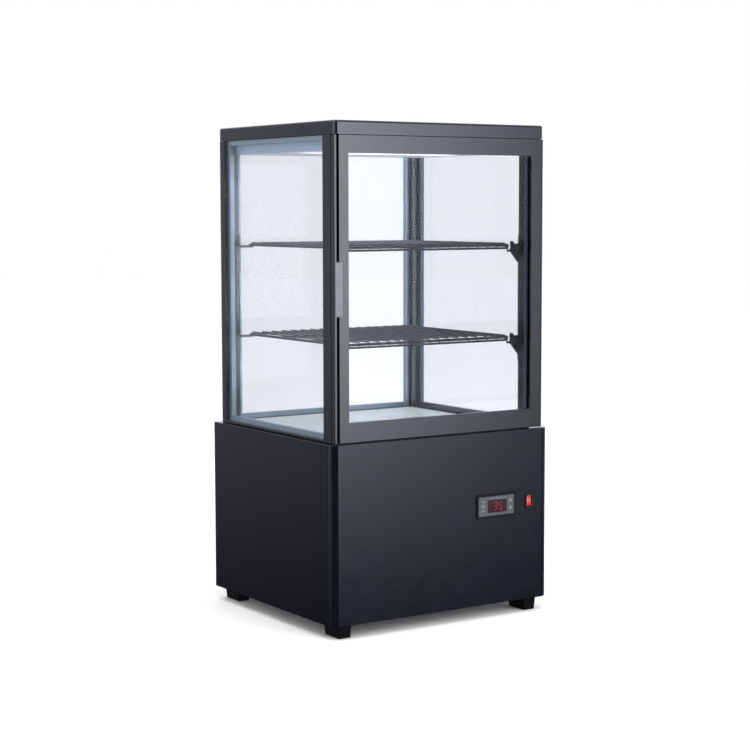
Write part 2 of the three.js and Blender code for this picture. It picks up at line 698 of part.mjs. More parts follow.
// White ceiling tray that fits inside the glass, with a slot for the lamp.
function ceilingLiner() {
  const sideFit = CABINET_HALF - GLASS_INSET - 2 * PANE - SIDE_AIR_SPACE - 3 * GAP;
  const z = [CEILING, ROOF_BOTTOM - GAP];
  const wide = box([-sideFit, sideFit], [FRONT_POST_BACK + GAP, REAR_POST_FRONT - GAP], z);
  const frontFit = POST_INNER - GAP;
  const narrow = box([-frontFit, frontFit], [POST_FRONT + GAP, REAR_POST_FRONT - GAP], z);
  const hollow = box([-172, 172], [-146, 158], [CEILING + 2, ROOF_BOTTOM + 5]);
  const slot = box(
    [-LAMP.x - GAP, LAMP.x + GAP],
    [LAMP.y[0] - GAP, LAMP.y[1] + GAP],
    [CEILING - 5, CEILING + 5],
  );
  return cut(join(wide, narrow), hollow, slot);
}

const ROOF_EDGE = 3.2;
const ROOF_CHAMFER = { across: 2.6, along: 5.9 };
const ROOF_FRONT_ROUND = 2;
const ROOF_REAR_ROUND = 4;

// Outline of the roof: each front corner is a steep flat that runs into a round.
function roofOutline(x, y) {
  const { across, along } = ROOF_CHAMFER;
  const round = ROOF_FRONT_ROUND;
  const rear = ROOF_REAR_ROUND;
  const tilt = Math.atan2(along, across);
  const turn = round * Math.sin(tilt);
  const drop = round * (1 - Math.cos(tilt));
  const quarter = Math.PI / 2;
  const shape = new THREE.Shape();
  shape.moveTo(x[0] + across + turn, y[0]);
  shape.lineTo(x[1] - across - turn, y[0]);
  shape.absarc(x[1] - across - turn, y[0] + round, round, -quarter, tilt - quarter);
  shape.lineTo(x[1], y[0] + drop + along);
  shape.absarc(x[1] - rear, y[1] - rear, rear, 0, quarter);
  shape.absarc(x[0] + rear, y[1] - rear, rear, quarter, 2 * quarter);
  shape.lineTo(x[0], y[0] + drop + along);
  shape.lineTo(x[0] + across, y[0] + drop);
  shape.absarc(x[0] + across + turn, y[0] + round, round, 3 * quarter - tilt, 3 * quarter);
  return shape;
}

// Roof cap: a shallow lid with rounded edges, hollow underneath.
function roofCap() {
  const edge = ROOF_EDGE;
  const outline = roofOutline(
    [-CABINET_HALF + edge, CABINET_HALF - edge],
    [CABINET_FRONT + edge, CABINET_BACK - edge],
  );
  const lid = new THREE.ExtrudeGeometry(outline, {
    depth: HEIGHT - ROOF_BOTTOM,
    bevelThickness: edge,
    bevelSize: edge,
    bevelSegments: 3,
    curveSegments: 4,
  }).translate(0, 0, ROOF_BOTTOM - edge);
  const reach = 300;
  const below = box([-reach, reach], [-reach, reach], [ROOF_BOTTOM - 50, ROOF_BOTTOM]);
  const hollow = box([-170, 170], [-145, 157], [ROOF_BOTTOM - 60, HEIGHT - 5]);
  const hingePocket = box([175, 203], [CABINET_FRONT + 2, -152], [ROOF_BOTTOM - 1, ROOF_BOTTOM + 2.9]);
  return cut(lid, below, hollow, hingePocket);
}

const HINGE_PLATE = { x: [177, 202.5], rear: -173.6 };

// Fixed hinge leaf with its pin; the lower one stands on the base, the upper hangs in the roof.
function lowerHinge() {
  const plate = box(HINGE_PLATE.x, [HINGE.y - 4.4, HINGE_PLATE.rear], [BASE_TOP + GAP, DOOR_BOTTOM - GAP]);
  return join(plate, cylinderZ(HINGE.x, HINGE.y, HINGE.pin, [BASE_TOP + 1, DOOR_BOTTOM + 12], 20));
}

function upperHinge() {
  const plate = box(HINGE_PLATE.x, [CABINET_FRONT + 2.4, -154], [ROOF_BOTTOM + GAP, ROOF_BOTTOM + 2.5]);
  return join(plate, cylinderZ(HINGE.x, HINGE.y, HINGE.pin, [DOOR_TOP - 12, ROOF_BOTTOM + 2], 20));
}

function buildCabinet() {
  add('cabinet_base_frame', cabinetBaseFrame(), blackPlastic);
  add('floor_panel', floorPanel(), whitePlastic);
  for (const [end, isFront] of [['front', true], ['rear', false]]) {
    for (const [side, xSide] of [['left', -1], ['right', 1]]) {
      add(`${end}_${side}_post`, post(xSide, isFront), blackPaint);
    }
  }
  buildSideGlass('left', -1);
  buildSideGlass('right', 1);
  buildRearGlass();
  add('ceiling_liner', ceilingLiner(), whitePlastic);
  add('ceiling_lamp', box([-LAMP.x, LAMP.x], LAMP.y, [CEILING, CEILING + 12]), whitePlastic);
  add('roof_cap', roofCap(), blackPlastic);
  add('upper_hinge', upperHinge(), steel);
  add('lower_hinge', lowerHinge(), steel);
}

// ---- Door ------------------------------------------------------------------

// Door frame: one moulding with a window, a rebate for the glass, a pull groove along its
// left edge, and a right edge that is round about the hinge line.
function doorFrame() {
  const z = [DOOR_BOTTOM, DOOR_TOP];
  const y = [CABINET_FRONT, DOOR_BACK];
  const outline = roundedShape([-CABINET_HALF, CABINET_HALF], y, [0.8, 6, 0, 0]);
  const blank = prism(outline, z, 5);
  const window = box([-WINDOW_HALF, WINDOW_HALF], [y[0] - 5, y[1] + 5], [WINDOW_BOTTOM, WINDOW_TOP]);
  const rebate = box([-184.3, 184.3], [y[0] + DOOR_LIP, y[1] + 5], [333.7, 768.3]);
  const groove = box([GROOVE_LEFT, GROOVE_RIGHT], [y[0] - 5, GROOVE_FLOOR], [z[0] - 5, z[1] + 5]);
  const beyond = box([HINGE.x, CABINET_HALF + 5], [y[0] - 5, y[1] + 5], [z[0] - 5, z[1] + 5]);
  const hingeRound = cylinderZ(HINGE.x, HINGE.y, HINGE.round, [z[0] - 6, z[1] + 6], 32);
  const trim = cut(beyond, hingeRound);
  const bores = [[z[0] - 1, z[0] + 14], [z[1] - 14, z[1] + 1]].map((span) => (
    cylinderZ(HINGE.x, HINGE.y, HINGE.bore, span, 20)
  ));
  return cut(blank, window, rebate, groove, trim, ...bores);
}

// Pull handle: a rounded plate that bridges the groove at hand height.
function doorHandle() {
  const { left, right, bottom, top, front } = HANDLE;
  const y = [front, CABINET_FRONT - GAP];
  const section = roundedShape([left, right], y, [1.2, 1.2, 0.4, 0.4]);
  const bar = prism(section, [bottom, top], 4);
  const outline = roundedShape([left - 1, right + 1], [bottom, top], [3, 3, 3, 3]);
  return overlapOf(bar, prismAlongY(outline, [y[0] - 1, y[1] + 1], 3));
}

function buildDoor() {
  const outerPane = [CABINET_FRONT + DOOR_LIP + GAP, CABINET_FRONT + DOOR_LIP + GAP + PANE];
  const spacer = [outerPane[1] + GAP, outerPane[1] + GAP + DOOR_AIR_SPACE];
  const innerPane = [spacer[1] + GAP, spacer[1] + GAP + PANE];
  const stepHalf = 178;
  const stepZ = [338, 764];
  add('door_frame', doorFrame(), blackPlastic);
  add('door_outer_pane', box([-184, 184], outerPane, [334, 768]), glass);
  const spacerShape = spacerRing([-stepHalf, stepHalf], stepZ, DOOR_SPACER_BAR);
  add('door_glass_spacer', prismAlongY(spacerShape, spacer), aluminium);
  add('door_inner_pane', box([-stepHalf, stepHalf], innerPane, stepZ), glass);
  const gasketRing = spacerRing([-199.5, 199.5], [315, 784], 13);
  add('door_gasket', prismAlongY(gasketRing, [DOOR_BACK + GAP, POST_FRONT - GAP]), rubber);
  add('door_handle', doorHandle(), blackPlastic);
}

// ---- Shelves ---------------------------------------------------------------

// Wire shelf: a bar along its front, rods along its sides and rear, two cross rods and wires
// from front to back, welded together.
function wireShelf(bottom) {
  const top = bottom + SHELF_EDGE;
  const x = [-SHELF_HALF, SHELF_HALF];
  const rodZ = [top - SHELF_ROD, top];
  const frontBar = box(x, [SHELF_FRONT, SHELF_FRONT + SHELF_ROD / 2], [bottom, top]);
  const rearRod = box(x, [SHELF_BACK - SHELF_ROD, SHELF_BACK], rodZ);
  const sideRods = [x[0], x[1] - SHELF_ROD].map((left) => (
    box([left, left + SHELF_ROD], [SHELF_FRONT + 1, SHELF_BACK - 1], rodZ)
  ));
  const crossRods = [-50, 60].map((y) => (
    cylinderX(y, top - SHELF_ROD, 2.2, [x[0] + 2, x[1] - 2])
  ));
  const wires = [];
  const pitch = (2 * SHELF_HALF - 14) / (SHELF_WIRES - 1);
  for (let i = 0; i < SHELF_WIRES; i += 1) {
    const wireX = x[0] + 7 + i * pitch;
    wires.push(cylinderY(wireX, top - 2, 1.3, [SHELF_FRONT + 1, SHELF_BACK - 1], 6));
  }
  return join(frontBar, rearRod, ...sideRods, ...crossRods, ...wires);
}

const STRIP = { outer: 186.6, thickness: 2, bottom: 420, top: 630 };
const ARM_DEPTH = 5;
const ARM_ROOT = 181; // where the arms end inside the strip

// Outline of a front arm: a hook beside the shelf's end, a seat under it and a gusset.
function frontArm(stripEdge, seat) {
  const wall = SHELF_HALF + 1;
  return [
    [ARM_ROOT, seat - 21], [ARM_ROOT, seat + 9.5], [wall + 6, seat + 9.5], [wall + 4, seat + 13.5],
    [wall, seat + 13.5], [wall, seat], [wall - 7, seat], [wall - 7, seat - 4], [wall, seat - 4],
    [stripEdge, seat - 21],
  ];
}

// Outline of a rear arm: a plain bar under the shelf's rear rod.
function rearArm(seat) {
  return [[ARM_ROOT, seat - 4], [ARM_ROOT, seat], [SHELF_HALF - 10, seat], [SHELF_HALF - 10, seat - 4]];
}

// Support: a strip on the inner side of a post with an arm for each shelf.
function shelfSupport(xSide, isFront) {
  const stripEdge = POST_INNER + GAP;
  const stripX = xSide < 0 ? [-STRIP.outer, -stripEdge] : [stripEdge, STRIP.outer];
  const stripY = isFront
    ? [FRONT_POST_BACK + GAP, FRONT_POST_BACK + GAP + STRIP.thickness]
    : [REAR_POST_FRONT - GAP - STRIP.thickness, REAR_POST_FRONT - GAP];
  const armY = isFront
    ? [FRONT_POST_BACK + GAP, FRONT_POST_BACK + GAP + ARM_DEPTH]
    : [REAR_POST_FRONT - GAP - ARM_DEPTH, REAR_POST_FRONT - GAP];
  const arms = SHELF_BOTTOMS.map((bottom) => {
    const rodBottom = bottom + SHELF_EDGE - SHELF_ROD;
    const points = isFront ? frontArm(stripEdge, bottom - GAP) : rearArm(rodBottom - GAP);
    const outline = points.map(([x, z]) => [x * xSide, z]);
    return prismAlongY(polygon(outline), armY);
  });
  return join(box(stripX, stripY, [STRIP.bottom, STRIP.top]), ...arms);
}

function buildShelves() {
  add('lower_shelf', wireShelf(SHELF_BOTTOMS[0]), blackWire);
  add('upper_shelf', wireShelf(SHELF_BOTTOMS[1]), blackWire);
  for (const [end, isFront] of [['front', true], ['rear', false]]) {
    for (const [side, xSide] of [['left', -1], ['right', 1]]) {
      add(`${end}_${side}_shelf_support`, shelfSupport(xSide, isFront), blackPlastic);
    }
  }
}

buildBase();
buildMachinery();
buildControls();
buildCabinet();
buildDoor();
buildShelves();

export default group;
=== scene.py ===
import json
import math

import bmesh
import bpy
from mathutils import Matrix, Vector


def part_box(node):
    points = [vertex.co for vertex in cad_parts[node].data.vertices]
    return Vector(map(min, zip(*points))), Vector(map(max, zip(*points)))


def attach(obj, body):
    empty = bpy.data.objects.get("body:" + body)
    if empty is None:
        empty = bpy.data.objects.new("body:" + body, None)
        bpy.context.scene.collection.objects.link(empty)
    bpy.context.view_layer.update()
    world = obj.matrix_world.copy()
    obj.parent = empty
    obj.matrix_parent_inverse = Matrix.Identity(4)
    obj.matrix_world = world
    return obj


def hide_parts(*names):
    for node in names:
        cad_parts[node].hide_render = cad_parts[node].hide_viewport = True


# Countertop refrigerated display with glass on four sides and a hinged front door.
# Metres, +Z up, +X to the viewer's right, +Y to the back.

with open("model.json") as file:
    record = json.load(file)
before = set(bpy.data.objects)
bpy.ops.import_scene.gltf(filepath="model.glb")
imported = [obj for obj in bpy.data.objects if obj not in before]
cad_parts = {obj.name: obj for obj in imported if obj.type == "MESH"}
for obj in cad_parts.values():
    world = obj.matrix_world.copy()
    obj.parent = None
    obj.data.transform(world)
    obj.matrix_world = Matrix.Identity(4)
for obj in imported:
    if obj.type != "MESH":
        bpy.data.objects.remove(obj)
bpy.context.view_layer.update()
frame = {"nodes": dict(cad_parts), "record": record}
NODES = frame["nodes"]
BODY_OF = {node: body for body, nodes in frame["record"]["behaviour"]["bodies"].items() for node in nodes}
SLOT_OF = {part["node"]: part["material_slot"] for part in frame["record"]["subparts"]}
MM = 0.001

scene = bpy.context.scene


# ---- Camera ------------------------------------------------------------------

# Fitted to the cabinet's outline. The angles are yaw, pitch and roll in degrees.
CAMERA_LENS = 85.66
CAMERA_AT = (-1.6578, -2.5139, 0.6771)
CAMERA_ANGLES = (33.26, -5.38, -0.11)


def make_camera():
    """A long lens a little below the top of the cabinet, from the front left."""
    data = bpy.data.cameras.new("camera")
    data.sensor_width = 36
    data.lens = CAMERA_LENS
    data.clip_end = 100
    camera = bpy.data.objects.new("camera", data)
    scene.collection.objects.link(camera)
    yaw, pitch, roll = (math.radians(a) for a in CAMERA_ANGLES)
    ahead = Vector((math.sin(yaw) * math.cos(pitch), math.cos(yaw) * math.cos(pitch), math.sin(pitch)))
    turn = ahead.to_track_quat("-Z", "Y").to_matrix().to_4x4()
    place = Matrix.Translation(CAMERA_AT)
    camera.matrix_world = place @ turn @ Matrix.Rotation(roll, 4, "Z")
    scene.camera = camera


make_camera()


# ---- Node materials ------------------------------------------------------------

class Nodes:
    """Short calls for building a material's node tree."""

    def __init__(self, name):
        self.material = bpy.data.materials.new(name)
        self.material.use_nodes = True
        self.tree = self.material.node_tree
        self.tree.nodes.clear()
        self.output = self.tree.nodes.new("ShaderNodeOutputMaterial")
        self.place = self.tree.nodes.new("ShaderNodeTexCoord").outputs["Object"]

    def add(self, kind, inputs=None, **settings):
        node = self.tree.nodes.new("ShaderNode" + kind)
        for key, value in settings.items():
            setattr(node, key, value)
        for key, value in (inputs or {}).items():
            self.put(value, node.inputs[key])
        return node

    def put(self, value, socket):
        if isinstance(value, bpy.types.NodeSocket):
            self.tree.links.new(value, socket)
        else:
            socket.default_value = value

    def noise(self, scale, detail=2.0, roughness=0.5, stretch=(1, 1, 1)):
        place = self.place
        if stretch != (1, 1, 1):
            place = self.add("Mapping", {"Vector": place, "Scale": stretch}).outputs["Vector"]
        inputs = {"Vector": place, "Scale": scale, "Detail": detail, "Roughness": roughness}
        return self.add("TexNoise", inputs).outputs["Fac"]

    def spread(self, value, low, high, start=0.3, end=0.7):
        inputs = {"Value": value, "From Min": start, "From Max": end, "To Min": low, "To Max": high}
        return self.add("MapRange", inputs).outputs["Result"]

    def tint(self, factor, first, second):
        mix = self.add("Mix", data_type="RGBA")
        self.put(factor, mix.inputs["Factor"])
        self.put((*first, 1), mix.inputs["A"])
        self.put((*second, 1), mix.inputs["B"])
        return mix.outputs["Result"]

    def bump(self, height, distance):
        inputs = {"Height": height, "Distance": distance, "Strength": 1.0}
        return self.add("Bump", inputs).outputs["Normal"]

    def principled(self, **inputs):
        return self.add("BsdfPrincipled", {key.replace("_", " "): value for key, value in inputs.items()})

    def done(self, shader):
        self.tree.links.new(shader, self.output.inputs["Surface"])
        return self.material


def scaled(colour, by):
    return tuple(min(1.0, c * by) for c in colour)


def surfaced(name, colour, rough, metallic=0.0, grain=0.00002, grain_scale=1400, blotch=0.12,
             stretch=(1, 1, 1), rough_spread=0.06, specular=0.5):
    """A base finish: blotchy colour, uneven roughness and a fine grain."""
    n = Nodes(name)
    cloud = n.noise(9, 4, 0.6)
    fine = n.noise(grain_scale, 3, 0.6, stretch)
    base = n.tint(n.spread(cloud, 0, 1), scaled(colour, 1 - blotch), scaled(colour, 1 + blotch))
    patchy = n.noise(38, 5, 0.65, stretch)
    shader = n.principled(
        Base_Color=base,
        Roughness=n.spread(patchy, rough - rough_spread, rough + rough_spread),
        Normal=n.bump(fine, grain),
        Metallic=metallic,
        Specular_IOR_Level=specular,
    )
    return n.done(shader.outputs["BSDF"])


def galvanised(name):
    """Zinc-plated sheet with its flowered crystals."""
    n = Nodes(name)
    cells = n.add("TexVoronoi", {"Vector": n.place, "Scale": 110})
    shade = n.spread(cells.outputs["Color"], 0, 1, 0, 1)
    base = n.tint(shade, (0.42, 0.44, 0.46), (0.68, 0.70, 0.72))
    shader = n.principled(
        Base_Color=base,
        Metallic=0.9,
        Roughness=n.spread(n.noise(60, 3), 0.3, 0.5),
        Normal=n.bump(n.noise(900, 2), 0.00002),
    )
    return n.done(shader.outputs["BSDF"])


def foam_material(name):
    """Expanded polystyrene: pale beads with fine dark joints."""
    n = Nodes(name)
    cells = n.add("TexVoronoi", {"Vector": n.place, "Scale": 260}, feature="DISTANCE_TO_EDGE")
    joint = n.spread(cells.outputs["Distance"], 0, 1, 0.0, 0.12)
    base = n.tint(joint, (0.62, 0.64, 0.66), (0.86, 0.87, 0.88))
    shader = n.principled(Base_Color=base, Roughness=0.8, Normal=n.bump(joint, 0.0002))
    return n.done(shader.outputs["BSDF"])


def spacer_material(name, dark, pale):
    """Rolled metal bar with rows of small breathing holes."""
    n = Nodes(name)
    cells = n.add("TexVoronoi", {"Vector": n.place, "Scale": 330, "Randomness": 0.0})
    hole = n.spread(cells.outputs["Distance"], 0, 1, 0.16, 0.24)
    base = n.tint(hole, dark, pale)
    shader = n.principled(
        Base_Color=base,
        Metallic=0.75,
        Roughness=n.spread(n.noise(70, 3), 0.3, 0.42),
        Normal=n.bump(hole, 0.00015),
    )
    return n.done(shader.outputs["BSDF"])


def fins_material(name):
    """Thin aluminium fins with the dull bloom of handled foil."""
    n = Nodes(name)
    ripple = n.add("TexWave", {"Vector": n.place, "Scale": 180, "Distortion": 0.4}, bands_direction="X")
    base = n.tint(n.spread(n.noise(30, 4), 0, 1), (0.55, 0.57, 0.6), (0.78, 0.8, 0.82))
    shader = n.principled(
        Base_Color=base,
        Metallic=0.9,
        Roughness=n.spread(n.noise(80, 2), 0.32, 0.48),
        Normal=n.bump(ripple.outputs["Fac"], 0.0002),
    )
    return n.done(shader.outputs["BSDF"])


def glass_material(name, clear, strength):
    """Thin clear pane: straight see-through with an angle-dependent mirror and faint wiping marks."""
    n = Nodes(name)
    back = n.add("NewGeometry").outputs["Backfacing"]
    ior = n.spread(back, strength, 1 / strength, 0, 1)
    mirror = n.add("Fresnel", {"IOR": ior}).outputs["Fac"]
    wiping = n.noise(22, 5, 0.7, (1, 1, 0.25))
    tinted = n.tint(n.spread(wiping, 0, 1), scaled(clear, 0.99), clear)
    through = n.add("BsdfTransparent", {"Color": tinted})
    gloss = n.add("BsdfGlossy", {"Roughness": n.spread(wiping, 0.0, 0.012)})
    mix = n.add("MixShader", {"Fac": mirror})
    n.put(through.outputs["BSDF"], mix.inputs[1])
    n.put(gloss.outputs["BSDF"], mix.inputs[2])
    return n.done(mix.outputs["Shader"])


def glow_material(name, colour, strength, body=(0.02, 0.0, 0.0)):
    """A lit segment or lamp lens, a little uneven across its face."""
    n = Nodes(name)
    uneven = n.spread(n.noise(500, 2), 0.8, 1.15)
    shade = n.tint(uneven, scaled(colour, 0.85), colour)
    shader = n.principled(
        Base_Color=n.tint(n.noise(300), body, scaled(body, 1.3)),
        Roughness=0.3,
        Emission_Color=shade,
        Emission_Strength=strength,
    )
    return n.done(shader.outputs["BSDF"])


def red_lens_material(name):
    """Moulded translucent red plastic, lit from inside, with a painted highlight: its glow turns brighter
    and paler pink towards the top.
    """
    n = Nodes(name)
    # Painted highlight: the emission runs from deep red at the bottom of the rocker to pale pink at its
    # top.
    height = n.add("SeparateXYZ", {"Vector": n.place}).outputs["Z"]
    low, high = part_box("switch_rocker")
    highlight_by_height = n.spread(height, 0, 1, low.z, high.z)
    base = n.tint(n.spread(n.noise(400, 3), 0, 1), (0.22, 0.006, 0.003), (0.34, 0.012, 0.006))
    shader = n.principled(
        Base_Color=base,
        Roughness=0.16,
        Coat_Weight=0.6,
        Emission_Color=n.tint(highlight_by_height, (0.5, 0.01, 0.005), (1.0, 0.25, 0.2)),
        Emission_Strength=0.2,
        Normal=n.bump(n.noise(1500, 2), 0.00001),
    )
    return n.done(shader.outputs["BSDF"])


BLACK = (0.0035, 0.0044, 0.0075)
MATERIALS = {
    "black_plastic": surfaced("black_plastic", BLACK, 0.14, grain=0.00001, rough_spread=0.03),
    "black_sheet": surfaced("black_sheet", BLACK, 0.12, grain=0.000006, rough_spread=0.02, specular=0.34),
    "black_post": surfaced("black_post", BLACK, 0.16, stretch=(1, 1, 0.08), grain=0.000008),
    "fan_plastic": surfaced("fan_plastic", (0.02, 0.02, 0.021), 0.5, grain=0.00003),
    "compressor_paint": surfaced("compressor_paint", (0.01, 0.01, 0.011), 0.33, grain=0.00008),
    "plated_steel": galvanised("plated_steel"),
    "rubber": surfaced("rubber", (0.004, 0.004, 0.0045), 0.7, grain=0.00004, grain_scale=900, specular=0.1),
    "coil_aluminium": fins_material("coil_aluminium"),
    "spacer_aluminium": spacer_material("spacer_aluminium", (0.13, 0.16, 0.19), (0.27, 0.34, 0.41)),
    "copper": surfaced("copper", (0.72, 0.33, 0.2), 0.32, metallic=1.0, blotch=0.3, grain_scale=400),
    "insulation": foam_material("insulation"),
    "grey_plastic": surfaced("grey_plastic", (0.07, 0.073, 0.08), 0.5),
    "white_plastic": surfaced("white_plastic", (0.74, 0.77, 0.8), 0.4, blotch=0.03),
    "glass": glass_material("glass", (0.986, 0.990, 0.997), 1.14),
    "button_plastic": surfaced("button_plastic", (0.12, 0.125, 0.13), 0.45),
    "display_lens": surfaced("display_lens", (0.03, 0.005, 0.012), 0.2, grain=0.000004, specular=0.2),
    "red_lens": red_lens_material("red_lens"),
    "black_wire": surfaced("black_wire", (0.006, 0.007, 0.011), 0.3, grain=0.00003, specular=0.18),
    "lamp_lens": glow_material("lamp_lens", (0.95, 0.98, 1.0), 1.2, body=(0.8, 0.82, 0.85)),
}
SIDE_GLASS = glass_material("side_glass", (0.99, 0.994, 0.998), 1.42)
# Painted shade: a darker copy of the spacer finish, used for the right and door glass units.
SHADE_PAINTED_SPACER = spacer_material("shade_painted_spacer", (0.03, 0.04, 0.055), (0.06, 0.085, 0.12))
PANEL_BLACK = surfaced("panel_black", BLACK, 0.14, grain=0.00001, rough_spread=0.03, specular=0.3)
HANDLE_BLACK = surfaced("handle_black", BLACK, 0.14, grain=0.00001, rough_spread=0.03, specular=0.75)
HOUSING_BLACK = surfaced("housing_black", (0.004, 0.004, 0.005), 0.4, specular=0.15)
FACE_GREY = surfaced("face_grey", (0.06, 0.071, 0.078), 0.42, grain=0.00001, grain_scale=2500, specular=0.3)
MARK_WHITE = surfaced("mark_white", (0.15, 0.17, 0.185), 0.5, grain=0.000005, grain_scale=3000)
DIGIT_RED = glow_material("digit_red", (1.0, 0.08, 0.11), 0.22)
SCREW_STEEL = surfaced("screw_steel", (0.34, 0.35, 0.36), 0.34, metallic=0.95, grain_scale=2200)
# Painted shade: a darker grey-blue for the ceiling liner's upright outer faces.
LINER_SIDE_SHADE = surfaced("liner_side_shade", (0.29, 0.42, 0.58), 0.4, blotch=0.05)


# ---- Mesh helpers --------------------------------------------------------------

SMOOTH_UNDER = math.radians(34)
ROUND_OVER = math.radians(35)
FLAT_UNDER = math.radians(0.4)
MERGE_WITHIN = 0.01 * MM


def even_shading(piece):
    """Keeps big faces flat to the light, so that only the rounded edges shade smoothly."""
    weighted = piece.modifiers.new("even_shading", "WEIGHTED_NORMAL")
    weighted.mode = "FACE_AREA"
    weighted.weight = 100
    weighted.keep_sharp = True


def finish_piece(name, bm, body, material, replaces=(), smooth_under=SMOOTH_UNDER):
    """Turns a bmesh into a named object that rides on a body and may stand for CAD nodes."""
    bmesh.ops.recalc_face_normals(bm, faces=bm.faces)
    mesh = bpy.data.meshes.new(name)
    bm.to_mesh(mesh)
    bm.free()
    for face in mesh.polygons:
        face.use_smooth = True
    mesh.set_sharp_from_angle(angle=smooth_under)
    mesh.materials.append(material)
    piece = bpy.data.objects.new(name, mesh)
    scene.collection.objects.link(piece)
    even_shading(piece)
    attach(piece, body)
    if replaces:
        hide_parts(*replaces)
    return piece


def soften(bm, width, segments):
    """Rounds every edge that is sharper than ROUND_OVER."""
    sharp = [
        edge for edge in bm.edges
        if len(edge.link_faces) == 2 and edge.calc_face_angle(0) > ROUND_OVER
    ]
    bmesh.ops.bevel(
        bm, geom=sharp, offset=width, offset_type="OFFSET", segments=segments, profile=0.5,
        affect="EDGES", clamp_overlap=True,
    )


def refined(node, width, segments=2, material=None, smooth_under=SMOOTH_UNDER):
    """A finer copy of a CAD node: big flat faces made whole, every sharp edge rounded by width mm."""
    bm = bmesh.new()
    bm.from_mesh(NODES[node].data)
    bmesh.ops.remove_doubles(bm, verts=bm.verts, dist=MERGE_WITHIN)
    bmesh.ops.dissolve_limit(bm, angle_limit=FLAT_UNDER, verts=bm.verts, edges=bm.edges)
    soften(bm, width * MM, segments)
    slot = SLOT_OF[node]
    material = material or MATERIALS[slot]
    return finish_piece(node + "_skin", bm, BODY_OF[node], material, (node,), smooth_under)


def add_tube(bm, points, radius, sides=10, closed=False):
    """A round bar along a line of points, with capped ends unless it is closed."""
    points = [Vector(p) for p in points]
    count = len(points)
    rings = []
    across = None
    for i, point in enumerate(points):
        before = points[i - 1] if (i or closed) else point
        after = points[(i + 1) % count] if (i < count - 1 or closed) else point
        along = (after - before).normalized()
        if across is None:
            across = along.orthogonal().normalized()
        across = (across - along * across.dot(along)).normalized()
        up = along.cross(across)
        ring = []
        for k in range(sides):
            angle = 2 * math.pi * k / sides
            ring.append(bm.verts.new(point + radius * (math.cos(angle) * across + math.sin(angle) * up)))
        rings.append(ring)
    pairs = list(zip(rings, rings[1:]))
    if closed:
        pairs.append((rings[-1], rings[0]))
    for first, second in pairs:
        for k in range(sides):
            bm.faces.new((first[k], first[(k + 1) % sides], second[(k + 1) % sides], second[k]))
    if not closed:
        bm.faces.new(reversed(rings[0]))
        bm.faces.new(rings[-1])


def rounded_loop(x, y, z, radius, steps=6):
    """Points of a level rectangle with round corners."""
    corners = [(x[1], y[0], -90), (x[1], y[1], 0), (x[0], y[1], 90), (x[0], y[0], 180)]
    points = []
    for cx, cy, start in corners:
        ax = cx - radius if cx == x[1] else cx + radius
        ay = cy - radius if cy == y[1] else cy + radius
        for i in range(steps + 1):
            angle = math.radians(start + 90 * i / steps)
            points.append((ax + radius * math.cos(angle), ay + radius * math.sin(angle), z))
    return points


def add_prism(bm, outline, low, high, place):
    """A closed prism: outline points go through place(u, v, depth) at depth low and high."""
    near = [bm.verts.new(place(u, v, low)) for u, v in outline]
    far = [bm.verts.new(place(u, v, high)) for u, v in outline]
    count = len(outline)
    bm.faces.new(near)
    bm.faces.new(reversed(far))
    for i in range(count):
        j = (i + 1) % count
        bm.faces.new((near[j], near[i], far[i], far[j]))


def on_front(u, v, depth):
    """Outline across X and Z, depth along Y."""
    return Vector((u, depth, v))


def on_side(u, v, depth):
    """Outline across Y and Z, depth along X."""
    return Vector((depth, u, v))


def rounded_outline(u, v, radius):
    """Outline of a rectangle with round corners, for add_prism."""
    return [(p[0], p[1]) for p in rounded_loop(u, v, 0, radius, steps=4)]


# ---- Cabinet, door and base skins ------------------------------------------------

# How far each node's sharp edges are rounded, in mm.
EDGE_ROUNDS = {
    "front_panel": 1.1, "left_side_panel": 0.5, "right_side_panel": 0.5, "cabinet_base_frame": 0.7,
    "front_left_post": 0.8, "front_right_post": 0.8, "rear_left_post": 0.8, "rear_right_post": 0.8,
    "ceiling_liner": 0.8, "floor_panel": 0.4, "door_frame": 0.5, "door_handle": 0.6,
    "controller_housing": 0.4, "controller_display": 0.25, "switch_body": 0.4, "switch_rocker": 0.5,
    "set_button": 0.35, "up_button": 0.35, "down_button": 0.35,
    "front_left_foot": 1.2, "front_right_foot": 1.2, "rear_left_foot": 1.2, "rear_right_foot": 1.2,
    "upper_hinge": 0.3, "lower_hinge": 0.3, "cord_gland": 0.5, "water_tray": 0.5, "base_tray": 0.4,
    "front_left_shelf_support": 0.5, "front_right_shelf_support": 0.5,
    "rear_left_shelf_support": 0.5, "rear_right_shelf_support": 0.5,
    "left_glass_spacer": 0.3, "right_glass_spacer": 0.3, "rear_glass_spacer": 0.3,
    "door_glass_spacer": 0.3, "ceiling_lamp": 1.0, "rear_panel": 0.3,
}
ROOF_ROUND = 0.6
PANE_ROUND = 0.4

# Nodes whose finish differs from the rest of their slot. The right and door glass spacers take a darker
# copy of the spacer finish, which is painted shade.
OWN_FINISH = {
    "front_panel": PANEL_BLACK,
    "door_handle": HANDLE_BLACK,
    "controller_housing": HOUSING_BLACK,
    "right_glass_spacer": SHADE_PAINTED_SPACER,
    "door_glass_spacer": SHADE_PAINTED_SPACER,
}

ROOF_SMOOTH_UNDER = math.radians(20)
LINER_SIDE_SHADE_REACH = 1.5 * MM


def shade_liner_sides(piece):
    """Gives the upright outer faces of the ceiling liner a darker grey-blue than the rest of the liner, as
    painted shade.
    """
    piece.data.materials.append(LINER_SIDE_SHADE)
    limit = max(corner[0] for corner in piece.bound_box) - LINER_SIDE_SHADE_REACH
    for face in piece.data.polygons:
        if abs(face.normal.x) > 0.5 and abs(face.center.x) > limit:
            face.material_index = 1


